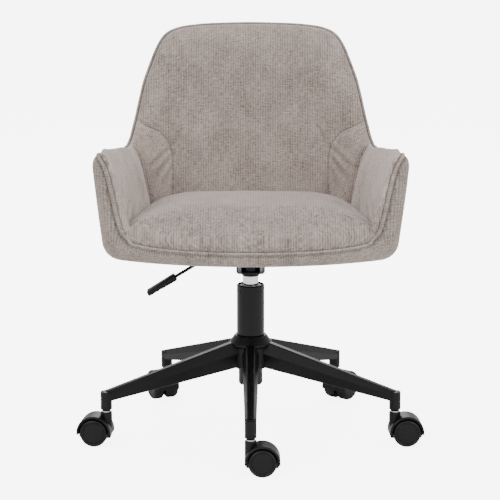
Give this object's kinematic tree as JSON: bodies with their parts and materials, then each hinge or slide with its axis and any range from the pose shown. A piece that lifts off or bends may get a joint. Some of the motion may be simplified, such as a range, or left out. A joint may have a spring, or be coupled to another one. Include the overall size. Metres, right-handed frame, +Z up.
{
  "type": "swivel office chair",
  "caption": "Upholstered tub seat with winged arms on a height-adjustable gas lift, release lever and a five-star base with twin-wheel casters.",
  "frame": {"origin": "on the floor, on the swivel axis, at the casters' contact height", "axes": "+Z up along the swivel axis, the sitter faces -Y, +X towards the sitter's left-hand arm"},
  "size_m": [0.6239, 0.5987, 0.722],
  "materials": {
    "cover_fabric": "ribbed taupe chenille",
    "dust_cloth": "black non-woven cloth",
    "board_wood": "bare plywood",
    "base_plastic": "satin black",
    "caster_plastic": "satin black",
    "wheel_plastic": "matte black",
    "grip_plastic": "matte black",
    "bush_plastic": "natural acetal",
    "column_paint": "satin black powder coat",
    "cylinder_chrome": "polished",
    "steel": "zinc-plated steel",
    "buffer_rubber": "black rubber"
  },
  "bodies": {
    "base": {"star_base": "base_plastic", "caster_grip_rings": "steel", "column_tube": "column_paint", "guide_bush": "bush_plastic", "bearing_lower_race": "steel", "bearing_ball_cage": "steel"},
    "rotor": {"piston_rod": "steel", "piston": "steel", "retaining_clip": "steel", "bearing_upper_race": "steel", "rubber_buffer": "buffer_rubber"},
    "seat": {"gas_cylinder": "cylinder_chrome", "rod_seal_guide": "bush_plastic", "taper_socket": "column_paint", "lever_bracket": "column_paint", "lever_pivot_pin": "steel", "lever_pivot_ears": "column_paint", "mounting_plate": "column_paint", "plate_bolts": "steel", "bolt_washers": "steel", "tee_nuts": "steel", "seat_board": "board_wood", "shell_frame": "board_wood", "outer_cover": "cover_fabric", "rim_piping": "cover_fabric", "back_pad": "cover_fabric", "arm_pad_left": "cover_fabric", "arm_pad_right": "cover_fabric", "seat_cushion": "cover_fabric", "dust_cover": "dust_cloth"},
    "lever": {"lever_rod": "column_paint", "lever_grip": "grip_plastic"},
    "valve": {"valve_pin": "steel"},
    "front_caster": {"front_caster_stem": "steel", "front_caster_hood": "caster_plastic", "front_caster_axle": "steel"},
    "front_wheel_left": {"front_caster_wheel_left": "wheel_plastic"},
    "front_wheel_right": {"front_caster_wheel_right": "wheel_plastic"},
    "right_caster": {"right_caster_stem": "steel", "right_caster_hood": "caster_plastic", "right_caster_axle": "steel"},
    "right_wheel_left": {"right_caster_wheel_left": "wheel_plastic"},
    "right_wheel_right": {"right_caster_wheel_right": "wheel_plastic"},
    "rear_right_caster": {"rear_right_caster_stem": "steel", "rear_right_caster_hood": "caster_plastic", "rear_right_caster_axle": "steel"},
    "rear_right_wheel_left": {"rear_right_caster_wheel_left": "wheel_plastic"},
    "rear_right_wheel_right": {"rear_right_caster_wheel_right": "wheel_plastic"},
    "rear_left_caster": {"rear_left_caster_stem": "steel", "rear_left_caster_hood": "caster_plastic", "rear_left_caster_axle": "steel"},
    "rear_left_wheel_left": {"rear_left_caster_wheel_left": "wheel_plastic"},
    "rear_left_wheel_right": {"rear_left_caster_wheel_right": "wheel_plastic"},
    "left_caster": {"left_caster_stem": "steel", "left_caster_hood": "caster_plastic", "left_caster_axle": "steel"},
    "left_wheel_left": {"left_caster_wheel_left": "wheel_plastic"},
    "left_wheel_right": {"left_caster_wheel_right": "wheel_plastic"}
  },
  "joints": [
    {"name": "seat_swivel", "type": "hinge", "parent": "base", "child": "rotor", "pos_m": [0, 0, 0.1], "axis": [0, 0, 1], "continuous": true},
    {"name": "height_lift", "type": "slide", "parent": "rotor", "child": "seat", "axis": [0, 0, 1], "range_m": [0, 0.1]},
    {"name": "release_lever", "type": "hinge", "parent": "seat", "child": "lever", "pos_m": [-0.02, 0, 0.337], "axis": [0, 1, 0], "range_deg": [0, 8], "stiffness_Nm_per_rad": 0.8, "springref_deg": -17.19},
    {"name": "valve_press", "type": "slide", "parent": "seat", "child": "valve", "axis": [0, 0, -1], "range_m": [0, 0.0034]},
    {"name": "front_caster_swivel", "type": "hinge", "parent": "base", "child": "front_caster", "pos_m": [0, -0.272, 0.065], "axis": [0, 0, 1], "continuous": true},
    {"name": "front_wheel_left_roll", "type": "hinge", "parent": "front_caster", "child": "front_wheel_left", "pos_m": [0.0205, -0.272, 0.025], "axis": [0, 1, 0], "continuous": true},
    {"name": "front_wheel_right_roll", "type": "hinge", "parent": "front_caster", "child": "front_wheel_right", "pos_m": [0.0205, -0.272, 0.025], "axis": [0, 1, 0], "continuous": true},
    {"name": "right_caster_swivel", "type": "hinge", "parent": "base", "child": "right_caster", "pos_m": [0.25869, -0.08405, 0.065], "axis": [0, 0, 1], "continuous": true},
    {"name": "right_wheel_left_roll", "type": "hinge", "parent": "right_caster", "child": "right_wheel_left", "pos_m": [0.27914, -0.08262, 0.025], "axis": [-0.0698, 0.9976, 0], "continuous": true},
    {"name": "right_wheel_right_roll", "type": "hinge", "parent": "right_caster", "child": "right_wheel_right", "pos_m": [0.27914, -0.08262, 0.025], "axis": [-0.0698, 0.9976, 0], "continuous": true},
    {"name": "rear_right_caster_swivel", "type": "hinge", "parent": "base", "child": "rear_right_caster", "pos_m": [0.15988, 0.22005, 0.065], "axis": [0, 0, 1], "continuous": true},
    {"name": "rear_right_wheel_left_roll", "type": "hinge", "parent": "rear_right_caster", "child": "rear_right_wheel_left", "pos_m": [0.17278, 0.23598, 0.025], "axis": [-0.7771, 0.6293, 0], "continuous": true},
    {"name": "rear_right_wheel_right_roll", "type": "hinge", "parent": "rear_right_caster", "child": "rear_right_wheel_right", "pos_m": [0.17278, 0.23598, 0.025], "axis": [-0.7771, 0.6293, 0], "continuous": true},
    {"name": "rear_left_caster_swivel", "type": "hinge", "parent": "base", "child": "rear_left_caster", "pos_m": [-0.15988, 0.22005, 0.065], "axis": [0, 0, 1], "continuous": true},
    {"name": "rear_left_wheel_left_roll", "type": "hinge", "parent": "rear_left_caster", "child": "rear_left_wheel_left", "pos_m": [-0.16886, 0.23848, 0.025], "axis": [-0.8988, -0.4384, 0], "continuous": true},
    {"name": "rear_left_wheel_right_roll", "type": "hinge", "parent": "rear_left_caster", "child": "rear_left_wheel_right", "pos_m": [-0.16886, 0.23848, 0.025], "axis": [-0.8988, -0.4384, 0], "continuous": true},
    {"name": "left_caster_swivel", "type": "hinge", "parent": "base", "child": "left_caster", "pos_m": [-0.25869, -0.08405, 0.065], "axis": [0, 0, 1], "continuous": true},
    {"name": "left_wheel_left_roll", "type": "hinge", "parent": "left_caster", "child": "left_wheel_left", "pos_m": [-0.27899, -0.0812, 0.025], "axis": [-0.1392, -0.9903, 0], "continuous": true},
    {"name": "left_wheel_right_roll", "type": "hinge", "parent": "left_caster", "child": "left_wheel_right", "pos_m": [-0.27899, -0.0812, 0.025], "axis": [-0.1392, -0.9903, 0], "continuous": true}
  ],
  "couplings": [
    {"joint": "valve_press", "follows": "release_lever", "m_per_rad": 0.023}
  ]
}
